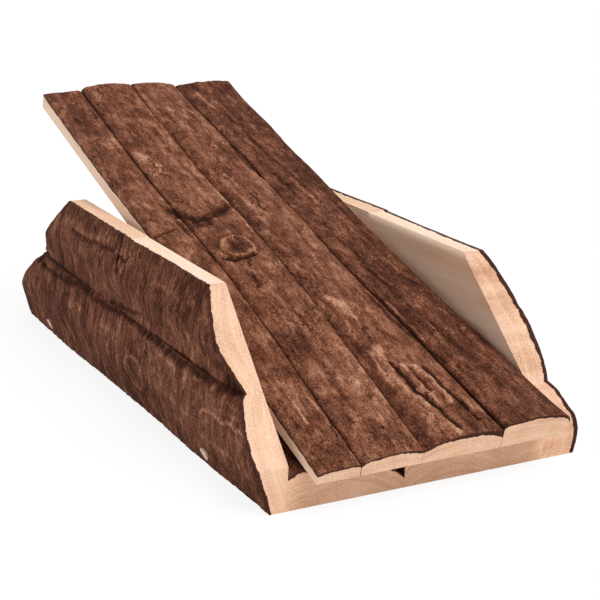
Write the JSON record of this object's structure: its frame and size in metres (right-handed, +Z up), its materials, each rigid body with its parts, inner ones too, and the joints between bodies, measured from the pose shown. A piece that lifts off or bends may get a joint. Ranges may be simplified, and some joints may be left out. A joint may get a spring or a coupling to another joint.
{
  "type": "small pet seesaw",
  "caption": "Bark-on wooden seesaw for small pets: a plank of glued strips rocks on an axle between two low walls joined by a tray.",
  "frame": {"origin": "on the floor, under the axle, midway between the walls", "axes": "+X along the seesaw to the end that stands low at rest, +Y to the thicker wall, +Z up"},
  "size_m": [0.3393, 0.1651, 0.1328],
  "materials": {
    "bark_on_wood": "rough bark, with pale sawn ends and edges",
    "sawn_wood": "sawn, untreated",
    "dowel_wood": "turned, untreated"
  },
  "bodies": {
    "stand": {"left_wall_lower": "bark_on_wood", "left_wall_upper": "bark_on_wood", "right_wall_lower": "bark_on_wood", "right_wall_upper": "bark_on_wood", "tray_slab_1": "bark_on_wood", "tray_slab_2": "bark_on_wood", "tray_slab_3": "bark_on_wood", "tray_slab_4": "bark_on_wood", "left_peg_front": "dowel_wood", "left_peg_rear": "dowel_wood", "right_peg_front": "dowel_wood", "right_peg_rear": "dowel_wood", "axle_rod": "dowel_wood"},
    "plank": {"plank_strip_1": "bark_on_wood", "plank_strip_2": "bark_on_wood", "plank_strip_3": "bark_on_wood", "plank_strip_4": "bark_on_wood", "cross_batten": "sawn_wood", "left_pivot_block": "sawn_wood", "right_pivot_block": "sawn_wood"}
  },
  "joints": [
    {"name": "plank_pivot", "type": "hinge", "parent": "stand", "child": "plank", "pos_m": [0, 0, 0.0525], "axis": [0, 1, 0], "range_deg": [-34.9, 0]}
  ]
}
